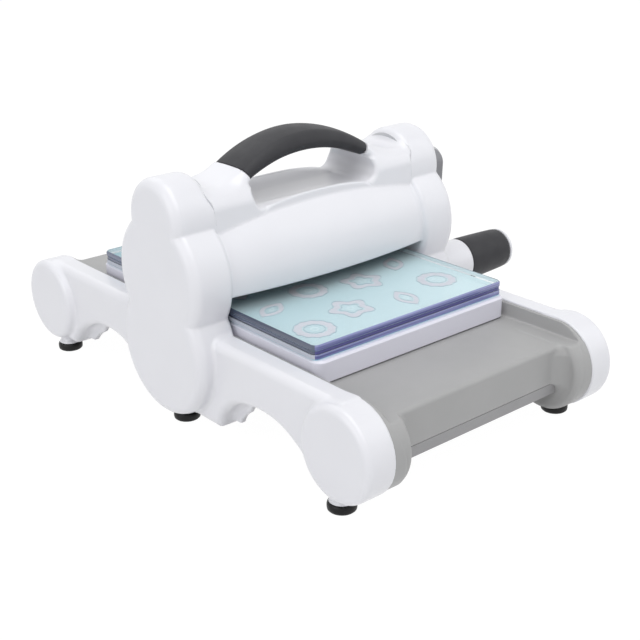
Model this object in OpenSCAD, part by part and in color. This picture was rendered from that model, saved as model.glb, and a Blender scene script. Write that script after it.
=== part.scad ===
// Hand-cranked die cutting machine for paper crafts. Millimetres, +Z up, front at -Y, crank at +X.
// The origin lies on the table under the middle of the whole machine's box, crank included.

/* [Cutting stack] */
// Width of the cutting pads
pad_w = 155.6; // [140:0.1:160]
// Length of the cutting pads
pad_l = 222.2; // [180:0.1:250]
// Thickness of one cutting pad
pad_t = 3.2; // [2.8:0.1:4]
// Thickness of the cutting die between the pads
die_t = 2.6; // [2:0.1:3.5]
// Corner radius of the pads
pad_corner_r = 4; // [2:0.5:10]
// Length of the sliding platform under the pads
platform_l = 229; // [200:1:260]
// Thickness of the sliding platform
platform_t = 14; // [10:0.5:18]

/* [Rollers and gears] */
// Radius of the two pressure rollers
roller_r = 16; // [14:0.5:17]
// Radius of the roller shafts
shaft_r = 6; // [4:0.5:7]
// Wall of the bushes that carry the shafts
bush_wall = 3; // [2:0.5:4]
// Teeth on each roller gear
gear_teeth = 56; // [48:2:64]
// Teeth on the crank pinion
pinion_teeth = 12; // [12:1:16]
// Width of the gears
gear_w = 8; // [5:0.5:9]

/* [Deck] */
// Height of the deck's top face above the table
deck_z = 57.6; // [54:0.2:62]
// Thickness of the deck plate
deck_t = 3.4; // [2.5:0.1:4]
// Distance from the middle to the front lip
lip_y = 166.4; // [162:0.2:170]
// Radius of the lip's top edge
lip_r = 5; // [2:0.5:6]
// Height of the lip's lower edge
lip_z = 25; // [22:0.5:28]
// Height of the joint between deck and base cover
seam_z = 33.4; // [31:0.2:36]
// Width of each rounded end flange
flange_w = 13.6; // [10:0.2:18]

/* [Legs] */
// Radius of the rounded ends of the legs
leg_r = 28.5; // [27:0.1:29]
// Distance from the middle to the centre of a leg end
leg_y = 153; // [148:0.5:156]
// Height of the centre of a leg end
leg_z = 38.5; // [38:0.1:40]
// Thickness of a leg arm
arm_t = 14.8; // [12:0.2:15.5]
// Extra thickness of the rounded leg ends
leg_boss = 5; // [2:0.2:6]
// Radius of the main curve of each arch
arch_r = 25.3; // [20:0.1:26]
// Distance from the middle to the centre of the main arch curve
arch_y = 92; // [88:0.5:94]
// Height of the centre of the main arch curve
arch_z = 12; // [10:0.5:13]

/* [Side covers] */
// Radius of the top lobe
top_lobe_r = 26; // [24:0.5:28]
// Height of the centre of the top lobe
top_lobe_z = 133; // [130:0.5:135]
// Distance that the middle lobe stands out beyond the housing
lobe_rim = 3.5; // [2.5:0.1:5]
// Radius of the lower lobe
low_lobe_r = 43; // [40:0.5:44]
// Height of the centre of the lower lobe
low_lobe_z = 52; // [51:0.5:54]
// Distance a cover stands out from the leg arm
cover_depth = 9.5; // [7:0.1:12]
// Wall of the covers and housings
wall = 3; // [2:0.1:3.4]
// Radius of the covers' rounded outer edge
edge_r = 6; // [3:0.5:7]

/* [Housing and handle] */
// Radius of the barrel-shaped housing round the upper roller, at its ends
visor_r = 38; // [36:0.5:40]
// Bulge of the housing from its ends to its middle
visor_bulge = 6; // [5:0.2:8]
// Height of the housing's lower front edge
visor_z = 88.3; // [84:0.1:90]
// Height of the finger tray's rim above the housing
band_h = 5.4; // [5:0.1:7]
// Depth of the finger tray below its rim
tray_depth = 4.2; // [2:0.1:5]
// Distance that the handle's base reaches out in front of the grip and behind it
post_flare = 8.1; // [6:0.1:9]
// Clear height for the fingers under the middle of the handle
finger_gap = 21; // [18:0.1:27]
// Radius of the handle's arched centre line
handle_arch_r = 98.8; // [90:0.2:110]
// Thickness of the handle at its middle
handle_t = 14.8; // [12:0.2:17]
// Thickness of the handle where the grip ends
handle_end_t = 9.2; // [8:0.2:11]
// Depth of the handle from front to rear
handle_d = 35; // [30:0.5:38]
// Half of the angle that the soft grip spans on the arch
grip_angle = 30.4; // [26:0.2:32]

/* [Crank] */
// Distance from the crank shaft to the grip pin
crank_r = 85.7; // [76:0.1:90]
// Tilt of the hanging crank towards the rear
crank_tilt = 2.2; // [0:0.1:6]
// Gap between the right cover and the crank arm
crank_gap = 4.3; // [3:0.1:8]
// Thickness of the crank arm
crank_t = 13.5; // [10:0.5:16]
// Half width of the crank arm's hub
hub_r = 16; // [14:0.5:17]
// Radius of the crank shaft
crank_shaft_r = 4.5; // [4:0.1:4.8]
// Radius of the crank grip's neck where it meets the sleeve
neck_r = 16.4; // [15.5:0.1:18]
// Radius of the soft sleeve on the grip
sleeve_r = 14.9; // [13.5:0.1:15]
// Length of the neck
neck_l = 36; // [30:1:44]
// Length of the soft sleeve
sleeve_l = 43; // [30:1:60]
// Thickness of the grip's end cap
cap_t = 3.5; // [2:0.1:5]

/* [Feet] */
// Radius of the rubber feet
foot_r = 8.5; // [7:0.5:9]
// Height of the rubber feet
foot_h = 6; // [4:0.5:7]
// Distance from the middle to the front and rear feet
foot_y = 148; // [142:0.5:152]

/* [Clearances] */
// Gap between the pads and each side of the tunnel
tunnel_play = 1.8; // [1:0.1:3]
// Gap between sliding or rolling faces
play = 0.2; // [0.15:0.05:0.3]
// Radial clearance of the shafts in their bushes
fit_play = 0.05; // [0.02:0.01:0.1]
// Clearance round pieces that are fixed in a hole or pocket
seat_play = 0.1; // [0.05:0.05:0.2]

/* [Hidden] */
$fn = 96;

// screws
screw_r = 2;
screw_l = 8;
screw_head_r = 3.6;
screw_head_t = 1.5;

// heights of the stack, the rollers and the gear train
platform_z = deck_z + play;
stack_z = platform_z + platform_t;
stack_top = stack_z + 2 * pad_t + die_t;
die_inset = 2;
lower_z = platform_z - play - roller_r;
upper_z = stack_top + play + roller_r;
gear_m = (upper_z - lower_z) / gear_teeth;
crank_z = upper_z + gear_m * (gear_teeth + pinion_teeth) / 2;
gear_tip = 0.9 * gear_m;
gear_root = 1.15 * gear_m;
gear_tip_r = gear_m * gear_teeth / 2 + gear_tip;
tooth_share = 0.84;
pressure_angle = 20;

// places across the machine, measured from its middle plane
tunnel_x = pad_w / 2 + tunnel_play;
plate_t = 2.6;
plate_x = tunnel_x + plate_t;
arm_x = plate_x + arm_t;
boss_x = arm_x + leg_boss;
cover_x = arm_x + cover_depth;
cover_in_x = cover_x - wall;
gear_x = cover_in_x - 2 - gear_w;
foot_x = plate_x + foot_r;
flange_x = plate_x - flange_w;
crank_x = cover_x + crank_gap;
neck_x = crank_x + crank_t + 0.5;
sleeve_x = neck_x + neck_l;
cap_x = sleeve_x + sleeve_l;
reach_x = cap_x + cap_t;
mid_x = (cover_x - reach_x) / 2;

// legs and covers
leg_top = leg_z + leg_r;
leg_bottom = leg_z - leg_r;
arch_base = leg_bottom - 4;
flank_step = 16;
flank_y = arch_y + flank_step;
flank_r = 25;
toe_angle = 45;
toe = polar(flank_r - 0.3, toe_angle);
heel_back = 28;
heel_y = arch_y - heel_back;
heel_r = arch_r / 2;
pocket_rim = 10;
pocket_shift = 4;
stem_top = leg_bottom + 1.5;
mid_lobe_r = visor_r + lobe_rim;
plate_half = 28;
plate_drop = 20;
plate_screw_inset = 5;
plate_screw_drops = [6, 16];
plate_bottom = lower_z - plate_drop;
bush_r = shaft_r + bush_wall;
bush_l = 8.4;
bush_flange_t = 1.8;
bush_rim = 2.5;
bush_flange_r = bush_r + bush_rim;
tie_r = 4;
tie_y = 22;
tie_drop = 11;
tie_lower_z = lower_z - tie_drop;
tie_upper_y = 15;
tie_rise = 25;
tie_upper_z = upper_z + tie_rise;
tie_end_r = 3;
nut_r = 7;
nut_t = 4;
stem_r = 6;
stem_flare = 2.5;
base_boss_r = 5;
base_screw_x = 50;
base_screw_y = 120;
end_fillet_r = 9;
roller_x = tunnel_x - 0.6;
shaft_end_x = cover_in_x - 0.8;
clip_t = 1;
groove = 0.6;
crank_bush_r = crank_shaft_r + 2.5;
housing_x = tunnel_x - 0.1;
boss_r = 4.5;
boss_ring_r = visor_r - wall - 2;
housing_screws_at = [for (s = [-1, 1], a = [-5, 36])
  [s * boss_ring_r * cos(a), upper_z + boss_ring_r * sin(a)]];
bulge_r = (pow(housing_x, 2) + pow(visor_bulge, 2)) / (2 * visor_bulge);

// handle
grip_half = handle_d / 2 + 0.3;
saddle_half = handle_d / 2 + post_flare;
saddle_z = upper_z + sqrt(pow(visor_r, 2) - pow(saddle_half, 2)) - 1;
rim_z = upper_z + sqrt(pow(visor_r + visor_bulge, 2) - pow(saddle_half, 2)) + band_h;
rim_drop = 3.5;
tray_z = rim_z - tray_depth;
tray_half = saddle_half - wall;
tray_floor_half = tray_half / 2;
tray_lip = 1.5;
gap_z = rim_z - rim_drop;
handle_top_z = rim_z + finger_gap + handle_t;
arch_z0 = handle_top_z - handle_t / 2 - handle_arch_r;
grip_end_out = handle_arch_r + handle_end_t / 2;
grip_end_in = handle_arch_r - handle_end_t / 2;
core_t = 5;
core_d = 18;
core_tuck = 2;
grip_edge_r = 6;
ring_spare = 0.6;
gap_end_r = 8;
post_inset = 6;
gap_x = grip_end_in * sin(grip_angle) - post_inset;
shoulder_drop = 24;
shoulder_rise = 3;
post_outer_z = handle_top_z - shoulder_drop;
grip_end_x = grip_end_out * sin(grip_angle);
post_points = [for (k = [2, 1]) [grip_end_x + k * 7.8, post_outer_z + 0.2 + (2 - k) * shoulder_rise]];
post_foot_x = gap_x - 2 * gap_end_r;
rim_r = (pow(gap_x, 2) + pow(rim_drop, 2)) / (2 * rim_drop);
// half depths of the posts, each at a height above the rim
post_section = [[saddle_half, 2], [saddle_half - 2, 6.5], [grip_half, 14]];
handle_screw_y = 10;
handle_screw_rise = 10;
handle_screws_at = [for (s = [-1, 1]) [s * handle_screw_y, top_lobe_z + handle_screw_rise]];

// crank
grip_y = crank_r * sin(crank_tilt);
grip_z = crank_z - crank_r * cos(crank_tilt);
pin_r = 4;
pin_head_r = 8;
pin_head_t = 2;
grip_core_r = 11;
hub_corner_r = 9;
arm_end_r = neck_r - 1.5;
washer_t = 1.4;
cap_pocket = 7;
shaft_nut_t = 4;
shaft_nut_wall = 3.5;
shaft_nut_edge = 1.5;

// colours
white = [0.91, 0.91, 0.93];
grey = [0.66, 0.66, 0.67];
dark = [0.27, 0.27, 0.28];
black = [0.1, 0.1, 0.1];
steel = [0.7, 0.71, 0.73];
bronze = [0.72, 0.56, 0.32];
clear = [0.74, 0.87, 0.9, 0.6];
cyan = [0.45, 0.8, 0.85];

// ---- helpers ----

module machine() translate([mid_x, 0, 0]) children();
module both_sides() { children(); mirror([1, 0, 0]) children(); }
module both_ends() { children(); mirror([0, 1, 0]) children(); }

// extrudes a (y, z) outline from x0 to x1
module along_x(x0, x1) translate([x0, 0, 0]) rotate([90, 0, 90]) linear_extrude(x1 - x0) children();

// extrudes an (x, z) outline from y0 to y1
module along_y(y0, y1) translate([0, y1, 0]) rotate([90, 0, 0]) linear_extrude(y1 - y0) children();

// cylinder along X
module rod(r, x0, x1, y = 0, z = 0) translate([x0, y, z]) rotate([0, 90, 0]) cylinder(r = r, h = x1 - x0);

module box(from, to) translate(from) cube(to - from);

// flat disc along X with a rounded outer edge
module puck(r, x0, x1, edge, y = 0, z = 0)
  translate([x0, y, z]) rotate([0, 90, 0]) rotate_extrude() {
    square([r - edge, x1 - x0]);
    square([r, x1 - x0 - edge]);
    translate([r - edge, x1 - x0 - edge]) intersection() { circle(edge); square(edge); }
  }

function polar(r, a) = [r * cos(a), r * sin(a)];

// outline of a belt drawn tight round circles, listed counter-clockwise as [x, y, r]; its straight
// runs start a hair inside the circles, so that they cross the arcs cleanly
tuck = 0.03;
module belt(circles) {
  n = len(circles);
  polygon([for (i = [0 : n - 1]) let (
      a = circles[i],
      b = circles[(i + 1) % n],
      outward = atan2(b.y - a.y, b.x - a.x) - acos((a.z - b.z) / norm([b.x - a.x, b.y - a.y]))
    )
    each [[a.x, a.y] + polar(a.z - tuck, outward), [b.x, b.y] + polar(b.z - tuck, outward)]]);
  for (c = circles) translate([c.x, c.y]) circle(c.z);
}

module rounded(size, r) {
  x = size.x / 2 - r;
  y = size.y / 2 - r;
  square([size.x, 2 * y], center = true);
  square([2 * x, size.y], center = true);
  for (sx = [-1, 1], sy = [-1, 1]) translate([sx * x, sy * y]) circle(r);
}

// ---- gears ----

// straight-flanked teeth, the first one centred on the first axis
function gear_outline(teeth) =
  let (
    r = gear_m * teeth / 2,
    half = 90 / teeth * tooth_share,
    tip = half - gear_tip * tan(pressure_angle) / (r + gear_tip) * 180 / PI,
    root = half + gear_root * tan(pressure_angle) / (r - gear_root) * 180 / PI
  )
  [for (i = [0 : teeth - 1]) let (a = i * 360 / teeth)
    each [polar(r - gear_root, a - root), polar(r + gear_tip, a - tip),
          polar(r + gear_tip, a + tip), polar(r - gear_root, a + root)]];

module gear(teeth, z, tooth_angle, bore)
  difference() {
    translate([0, 0, z])
      along_x(gear_x, gear_x + gear_w) rotate(tooth_angle) polygon(gear_outline(teeth));
    rod(bore, gear_x - 1, gear_x + gear_w + 1, z = z);
  }

// ---- legs and deck ----

// the second belt starts from a slightly smaller circle, so that the two outlines cross cleanly
module arch_outline()
  both_arches() {
    belt([[flank_y, arch_base, flank_r], [arch_y, arch_z, arch_r]]);
    belt([[arch_y, arch_z, arch_r - 0.5], [heel_y, leg_bottom - 2, heel_r]]);
  }
module both_arches() { children(); mirror([1, 0]) children(); }

module arm_outline()
  difference() {
    translate([-leg_y, leg_bottom]) square([2 * leg_y, leg_top - leg_bottom]);
    arch_outline();
    both_arches() translate([flank_y + toe.x, 0]) square([leg_y, arch_base + toe.y]);
  }

module foot_places(sides = [-1, 1])
  for (s = sides, y = [-foot_y, 0, foot_y]) translate([s * foot_x, y, 0]) children();

module leg_frame()
  difference() {
    union() {
      along_x(plate_x, arm_x) arm_outline();
      both_ends() puck(leg_r, plate_x, boss_x, edge_r, leg_y, leg_z);
    }
    // room for the lower gear, its bush and the tie bar nuts
    rod(gear_tip_r + 1, gear_x - 0.6, arm_x + 1, z = lower_z);
    rod(bush_flange_r + 1, plate_x - 1, gear_x, z = lower_z);
    for (y = [-tie_y, tie_y]) rod(nut_r + 1, plate_x - 1, gear_x, y, tie_lower_z);
    plate_screw_places() rod(screw_r + seat_play, plate_x - 1, plate_x + screw_l);
    foot_places([1]) translate([0, 0, -1]) cylinder(r = stem_r + seat_play, h = stem_top + 1);
    foot_places([1]) translate([0, 0, -1]) cylinder(r = screw_r + seat_play, h = stem_top + 1 + screw_l + 1);
    // light pockets in the leg ends, opening towards the deck
    both_ends()
      rod(leg_r - pocket_rim, plate_x - 1, boss_x - wall, leg_y + pocket_shift, leg_z + pocket_shift);
  }

module plate_screw_places()
  for (s = [-1, 1], drop = plate_screw_drops)
    translate([0, s * (plate_half - plate_screw_inset), leg_top - drop]) children();

module left_leg_frame() color(white) machine() mirror([1, 0, 0]) leg_frame();
module right_leg_frame() color(white) machine() leg_frame();

module deck_side_outline() {
  translate([-leg_y, seam_z]) square([2 * leg_y, leg_top - 1 - seam_z]);
  for (s = [-1, 1]) translate([s * leg_y, leg_z]) circle(leg_r - 1);
}

module lip_outline() {
  translate([0, deck_z - deck_t]) square([lip_y - lip_r, deck_t]);
  translate([lip_y - lip_r, deck_z - lip_r]) intersection() { circle(lip_r); square(lip_r); }
  translate([lip_y - deck_t, seam_z]) square([deck_t, deck_z - lip_r - seam_z]);
  translate([lip_y - lip_r - 1, deck_z - lip_r - 2]) square([lip_r + 1 - 0.01, 2.01]);
}

// cup behind the rounded end of a leg, and the fillet that joins it to the lip
module end_flange() {
  difference() {
    rod(leg_r - 1, flange_x, plate_x, leg_y, leg_z);
    intersection() {
      rod(leg_r - 1 - deck_t, flange_x + deck_t, plate_x + 1, leg_y, leg_z);
      box([flange_x, 0, 0], [plate_x + 2, leg_y + leg_r, deck_z - deck_t]);
    }
    box([0, 0, deck_z], [tunnel_x, leg_y + leg_r, leg_top]);
  }
  intersection() {
    rod(leg_r - 1, flange_x - end_fillet_r, plate_x, leg_y, leg_z);
    translate([0, 0, seam_z]) linear_extrude(deck_z - lip_r - seam_z) difference() {
      translate([flange_x - end_fillet_r, lip_y - 0.5]) square([end_fillet_r, end_fillet_r + 0.5]);
      translate([flange_x - end_fillet_r, lip_y + end_fillet_r]) circle(end_fillet_r);
    }
  }
}

module deck()
  color(grey) machine() difference() {
    union() {
      both_sides() both_ends() along_x(-0.01, plate_x - plate_t + 0.01) lip_outline();
      both_sides() along_x(tunnel_x, plate_x) deck_side_outline();
      both_sides() both_ends() end_flange();
      base_screw_places() translate([0, 0, lip_z + wall])
        cylinder(r = base_boss_r, h = deck_z - deck_t - lip_z - wall + 0.5);
    }
    base_screw_places() cylinder(r = screw_r + seat_play, h = lip_z + wall + screw_l);
    // slot for the lower roller and notches for the bearing plates
    box([-tunnel_x + 0.3, -roller_r - 2, deck_z - 8], [tunnel_x - 0.3, roller_r + 2, deck_z + 1]);
    both_sides() box([tunnel_x - seat_play, -plate_half - seat_play, 0],
                     [plate_x + 1, plate_half + seat_play, leg_top + 1]);
  }

module base_outline() {
  difference() {
    union() {
      translate([0, lip_z]) square([lip_y - 4, seam_z - lip_z]);
      polygon([[lip_y - 4.5, lip_z], [lip_y - 2, lip_z], [lip_y, seam_z], [lip_y - 4.5, seam_z]]);
    }
    translate([-1, lip_z + wall]) square([lip_y - 5 + 1, seam_z]);
  }
}

// shallow tray that closes the underside, with a trough below the lower roller that the plates close
module base_cover()
  color(grey) machine() difference() {
    x = flange_x - seat_play;
    trough_y = plate_half;
    trough_z = plate_bottom - 2 - wall;
    floor_y = leg_y - leg_r - 1;
    union() {
      both_sides() both_ends() along_x(-0.01, x) base_outline();
      box([-tunnel_x + 0.4, -floor_y, lip_z], [tunnel_x - 0.4, floor_y, lip_z + wall]);
      box([-tunnel_x + 0.4, -trough_y - wall, trough_z], [tunnel_x - 0.4, trough_y + wall, lip_z + wall]);
    }
    box([-tunnel_x, -trough_y, trough_z + wall], [tunnel_x, trough_y, seam_z]);
    base_screw_places() translate([0, 0, lip_z - 1]) cylinder(r = screw_r + seat_play, h = wall + 2);
  }

module base_screw_places()
  for (x = [-base_screw_x, base_screw_x], y = [-base_screw_y, base_screw_y]) translate([x, y, 0]) children();

// ---- side covers ----

module lobes(x0, x1, inset, edge) {
  puck(top_lobe_r - inset, x0, x1, edge, z = top_lobe_z);
  puck(mid_lobe_r - inset, x0, x1, edge, z = upper_z);
  puck(low_lobe_r - inset, x0, x1, edge, z = low_lobe_z);
}

module side_cover()
  difference() {
    lobes(tunnel_x, cover_x, 0, edge_r);
    lobes(tunnel_x - 1, cover_in_x, wall, edge_r - wall);
    box([tunnel_x - 1, -low_lobe_r - 1, 0], [arm_x, low_lobe_r + 1, leg_top]);
  }

module left_side_cover() color(white) machine() mirror([1, 0, 0]) side_cover();

module right_side_cover()
  color(white) machine() difference() {
    side_cover();
    rod(crank_bush_r + seat_play, cover_in_x - 1, cover_x + 1, z = crank_z);
  }

module plate_outline() {
  inset = wall + 0.3;
  intersection() {
    union() {
      translate([0, top_lobe_z]) circle(top_lobe_r - inset);
      translate([0, upper_z]) circle(mid_lobe_r - inset);
      translate([0, low_lobe_z]) circle(low_lobe_r - inset);
    }
    translate([-mid_lobe_r, leg_top + 0.5]) square([2 * mid_lobe_r, 2 * mid_lobe_r + top_lobe_r]);
  }
  translate([-plate_half, plate_bottom]) square([2 * plate_half, leg_top + 1 - plate_bottom]);
}

module bearing_plate()
  difference() {
    along_x(tunnel_x, plate_x) plate_outline();
    for (z = [lower_z, upper_z]) rod(bush_r + seat_play, tunnel_x - 1, plate_x + 1, z = z);
    for (y = [-1, 1]) {
      rod(tie_end_r + seat_play, tunnel_x - 1, plate_x + 1, y * tie_y, tie_lower_z);
      rod(tie_end_r + seat_play, tunnel_x - 1, plate_x + 1, y * tie_upper_y, tie_upper_z);
    }
    plate_screw_places() {
      rod(screw_r + seat_play, tunnel_x - 1, plate_x + 1);
      rod(screw_head_r + seat_play, tunnel_x - 1, tunnel_x + screw_head_t + seat_play);
    }
    for (p = housing_screws_at) rod(screw_r + seat_play, tunnel_x - 1, plate_x + 1, p.x, p.y);
    for (p = handle_screws_at) rod(screw_r + seat_play, tunnel_x - 1, plate_x + 1, p.x, p.y);
  }

module left_bearing_plate() color(steel) machine() mirror([1, 0, 0]) bearing_plate();

module right_bearing_plate()
  color(steel) machine() difference() {
    bearing_plate();
    rod(crank_bush_r + seat_play, tunnel_x - 1, plate_x + 1, z = crank_z);
  }

module tie_bar(y, z) {
  rod(tie_r, -tunnel_x, tunnel_x, y, z);
  rod(tie_end_r, -plate_x - nut_t - 1, plate_x + nut_t + 1, y, z);
}

module tie_bars()
  color(steel) machine() for (s = [-1, 1]) {
    tie_bar(s * tie_y, tie_lower_z);
    tie_bar(s * tie_upper_y, tie_upper_z);
  }

module tie_bar_nut(y, z)
  difference() {
    translate([plate_x, y, z]) rotate([0, 90, 0]) cylinder(r = nut_r - 0.5, h = nut_t, $fn = 6);
    rod(tie_end_r + seat_play, plate_x - 1, plate_x + nut_t + 1, y, z);
  }

module tie_bar_nuts()
  color(steel) machine() both_sides() for (s = [-1, 1]) {
    tie_bar_nut(s * tie_y, tie_lower_z);
    tie_bar_nut(s * tie_upper_y, tie_upper_z);
  }

// ---- housing and handle ----

// barrel round the upper roller
module barrel(inset, half)
  translate([0, 0, upper_z]) rotate([0, 90, 0]) rotate_extrude() intersection() {
    translate([visor_r + visor_bulge - bulge_r, 0]) circle(bulge_r - inset, $fn = 360);
    translate([0, -half]) square([2 * visor_r, 2 * half]);
  }

// the housing ends at the handle's base, which closes it at the top
module visor()
  difference() {
    union() {
      difference() {
        reach = visor_r + visor_bulge + 1;
        barrel(0, housing_x);
        barrel(wall, housing_x + 1);
        box([-housing_x - 1, -reach, upper_z - reach], [housing_x + 1, reach, visor_z]);
        box([-housing_x - 1, -saddle_half, visor_z - 1], [housing_x + 1, reach, upper_z + reach]);
      }
      both_sides() for (p = housing_screws_at)
        if (p.x < 0) rod(boss_r, housing_x - screw_l - 4, housing_x, p.x, p.y);
    }
    both_sides() for (p = housing_screws_at)
      rod(screw_r + seat_play, housing_x - screw_l, housing_x + 1, p.x, p.y);
  }

module front_housing() color(white) machine() visor();
module rear_housing() color(white) machine() mirror([0, 1, 0]) visor();

function on_arch(r, a) = [r * sin(a), arch_z0 + r * cos(a)];

// side view of the handle's posts and the saddle between them
module saddle_outline()
  difference() {
    union() {
      for (s = [1, -1]) scale([s, 1]) polygon([
        [0, saddle_z], [housing_x, saddle_z], [housing_x, post_outer_z],
        each post_points, on_arch(grip_end_out, grip_angle), on_arch(grip_end_in, grip_angle),
        [post_foot_x, rim_z], [0, rim_z]
      ]);
    }
    gap_outline();
  }

// finger gap: under the grip, down to the tray's rim, with round ends
module gap_outline() {
  difference() {
    translate([-gap_x, gap_z]) square([2 * gap_x, finger_gap]);
    translate([0, rim_z - rim_r]) circle(rim_r, $fn = 360);
  }
  for (s = [-1, 1]) translate([s * gap_x, gap_z + gap_end_r]) circle(gap_end_r);
}

// end view of the posts and the tray, wide at the base and as deep as the grip at the top
module saddle_section()
  for (s = [1, -1]) scale([s, 1]) polygon([
    [-0.01, saddle_z], [saddle_half, saddle_z], for (p = post_section) [p.x, rim_z + p.y],
    [grip_half, handle_top_z], [-0.01, handle_top_z]
  ]);

// shallow dish with sloping front and rear walls
module tray_outline()
  polygon([
    [-tray_half, rim_z + gap_end_r], [-tray_half, rim_z - tray_lip], [-tray_floor_half, tray_z],
    [tray_floor_half, tray_z], [tray_half, rim_z - tray_lip], [tray_half, rim_z + gap_end_r]
  ]);

module grip_sector(r, angle = grip_angle)
  polygon([[0, arch_z0], on_arch(r, -angle), on_arch(r, 0), on_arch(r, angle)]);

// crescent between the handle's upper and lower curves
chord_out = grip_end_out * sin(grip_angle);
sag_out = handle_top_z - (arch_z0 + grip_end_out * cos(grip_angle));
crescent_out_r = (pow(chord_out, 2) + pow(sag_out, 2)) / (2 * sag_out);
chord_in = grip_end_in * sin(grip_angle);
sag_in = handle_top_z - handle_t - (arch_z0 + grip_end_in * cos(grip_angle));
crescent_in_r = (pow(chord_in, 2) + pow(sag_in, 2)) / (2 * sag_in);
module crescent()
  difference() {
    translate([0, handle_top_z - crescent_out_r]) circle(crescent_out_r, $fn = 180);
    translate([0, handle_top_z - handle_t - crescent_in_r]) circle(crescent_in_r, $fn = 180);
  }

// ring about the arch's centre with a rounded section
module arch_ring(t, d, r)
  translate([0, 0, arch_z0]) rotate([90, 0, 0]) rotate_extrude($fn = 180)
    translate([handle_arch_r, 0]) rounded([t, d], r);

// flat core of the arch; it runs on a little into the posts
module handle_core()
  intersection() {
    arch_ring(core_t, core_d, 1);
    along_y(-handle_d, handle_d) grip_sector(2 * handle_arch_r, grip_angle + core_tuck);
  }

module handle_grip()
  color(dark) machine() difference() {
    intersection() {
      arch_ring(handle_t + 2 * ring_spare, handle_d, grip_edge_r);
      along_y(-handle_d, handle_d) intersection() { crescent(); grip_sector(2 * handle_arch_r); }
    }
    arch_ring(core_t + 2 * seat_play, core_d + 2 * seat_play, 1);
  }

module handle_frame()
  color(white) machine() {
    difference() {
      intersection() {
        along_y(-saddle_half - 1, saddle_half + 1) saddle_outline();
        along_x(-housing_x, housing_x) saddle_section();
      }
      rod(visor_r - wall, -housing_x - 1, housing_x + 1, z = upper_z);
      along_x(-gap_x, gap_x) tray_outline();
      both_sides() for (p = handle_screws_at)
        rod(screw_r + seat_play, housing_x - screw_l, housing_x + 1, p.x, p.y);
    }
    handle_core();
  }

// ---- bushes ----

module bush(r, wall_r, x0, flange_from, x1)
  difference() {
    union() {
      rod(r + wall_r, x0, x1);
      rod(r + wall_r + bush_rim, flange_from, flange_from + bush_flange_t);
    }
    rod(r + fit_play, x0 - 1, x1 + 1);
  }

module roller_bushes(z)
  color(bronze) machine() translate([0, 0, z])
    both_sides() bush(shaft_r, bush_wall, tunnel_x, plate_x, plate_x + bush_l - plate_t);

module upper_roller_bushes() roller_bushes(upper_z);
module lower_roller_bushes() roller_bushes(lower_z);

module crank_bushes()
  color(bronze) machine() translate([0, 0, crank_z]) {
    bush(crank_shaft_r, crank_bush_r - crank_shaft_r, tunnel_x, plate_x, plate_x + bush_l - plate_t);
    bush(crank_shaft_r, crank_bush_r - crank_shaft_r, cover_in_x - 1, cover_x, cover_x + bush_flange_t);
  }

// ---- feet and screws ----

module foot_screw_outline(extra) {
  translate([0, 0, foot_h / 3]) cylinder(r = screw_head_r + extra, h = screw_head_t);
  translate([0, 0, foot_h / 3]) cylinder(r = screw_r + extra, h = stem_top + screw_l - foot_h / 3);
}

module foot_stems()
  color(white) machine() foot_places() difference() {
    union() {
      translate([0, 0, foot_h]) cylinder(r1 = foot_r - 1, r2 = stem_r, h = stem_flare);
      translate([0, 0, foot_h]) cylinder(r = stem_r, h = stem_top - foot_h);
    }
    foot_screw_outline(seat_play);
  }

module foot_pads()
  color(black) machine() foot_places() difference() {
    cylinder(r = foot_r, h = foot_h);
    foot_screw_outline(seat_play);
  }

module foot_screws() color(steel) machine() foot_places() foot_screw_outline(0);

// screw along X from its head's face, pointing to -X
module side_screw(head_from, p)
  union() {
    rod(screw_head_r, head_from, head_from + screw_head_t, p.x, p.y);
    rod(screw_r, tunnel_x - screw_l + 1, head_from + 0.01, p.x, p.y);
  }

module plate_screws()
  color(steel) machine() both_sides() plate_screw_places() {
    rod(screw_head_r, tunnel_x, tunnel_x + screw_head_t);
    rod(screw_r, tunnel_x, plate_x + screw_l - 1);
  }

module housing_screws()
  color(steel) machine() both_sides() for (p = housing_screws_at) side_screw(plate_x, p);

module handle_screws()
  color(steel) machine() both_sides() for (p = handle_screws_at) side_screw(plate_x, p);

module base_screws()
  color(steel) machine() base_screw_places() {
    translate([0, 0, lip_z - screw_head_t]) cylinder(r = screw_head_r, h = screw_head_t);
    translate([0, 0, lip_z - 0.01]) cylinder(r = screw_r, h = wall + screw_l - 1);
  }

// ---- rollers ----

clip_left_x = -plate_x - bush_l + plate_t - play;
clip_right_x = gear_x + gear_w + play;

module roller(z)
  color(steel) machine() difference() {
    rod(roller_r, -roller_x, roller_x, z = z);
    rod(shaft_r + fit_play, -roller_x - 1, roller_x + 1, z = z);
  }

module roller_shaft(z)
  color(steel) machine() difference() {
    rod(shaft_r, clip_left_x - 3, shaft_end_x, z = z);
    roller_clip_shapes(z, shaft_r + 1, shaft_r - groove, 0.1);
  }

module roller_clip_shapes(z, outer, inner, extra)
  for (x = [clip_left_x - clip_t, clip_right_x]) difference() {
    rod(outer, x - extra, x + clip_t + extra, z = z);
    rod(inner, x - 1, x + clip_t + 1, z = z);
  }

module roller_clips(z)
  color(steel) machine() roller_clip_shapes(z, shaft_r + 2, shaft_r - groove + 0.1, 0);

gap_turn = 180 / gear_teeth;

module upper_roller() roller(upper_z);
module upper_roller_shaft() roller_shaft(upper_z);
module upper_roller_gear() color(bronze) machine() gear(gear_teeth, upper_z, 90, shaft_r + fit_play);
module upper_roller_clips() roller_clips(upper_z);

module lower_roller() roller(lower_z);
module lower_roller_shaft() roller_shaft(lower_z);
module lower_roller_gear()
  color(bronze) machine() gear(gear_teeth, lower_z, 90 + gap_turn, shaft_r + fit_play);
module lower_roller_clips() roller_clips(lower_z);

// ---- crank ----

module crank_shaft()
  color(steel) machine()
    rod(crank_shaft_r, tunnel_x + 0.3, crank_x + crank_t + shaft_nut_t - 0.5, z = crank_z);

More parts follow.
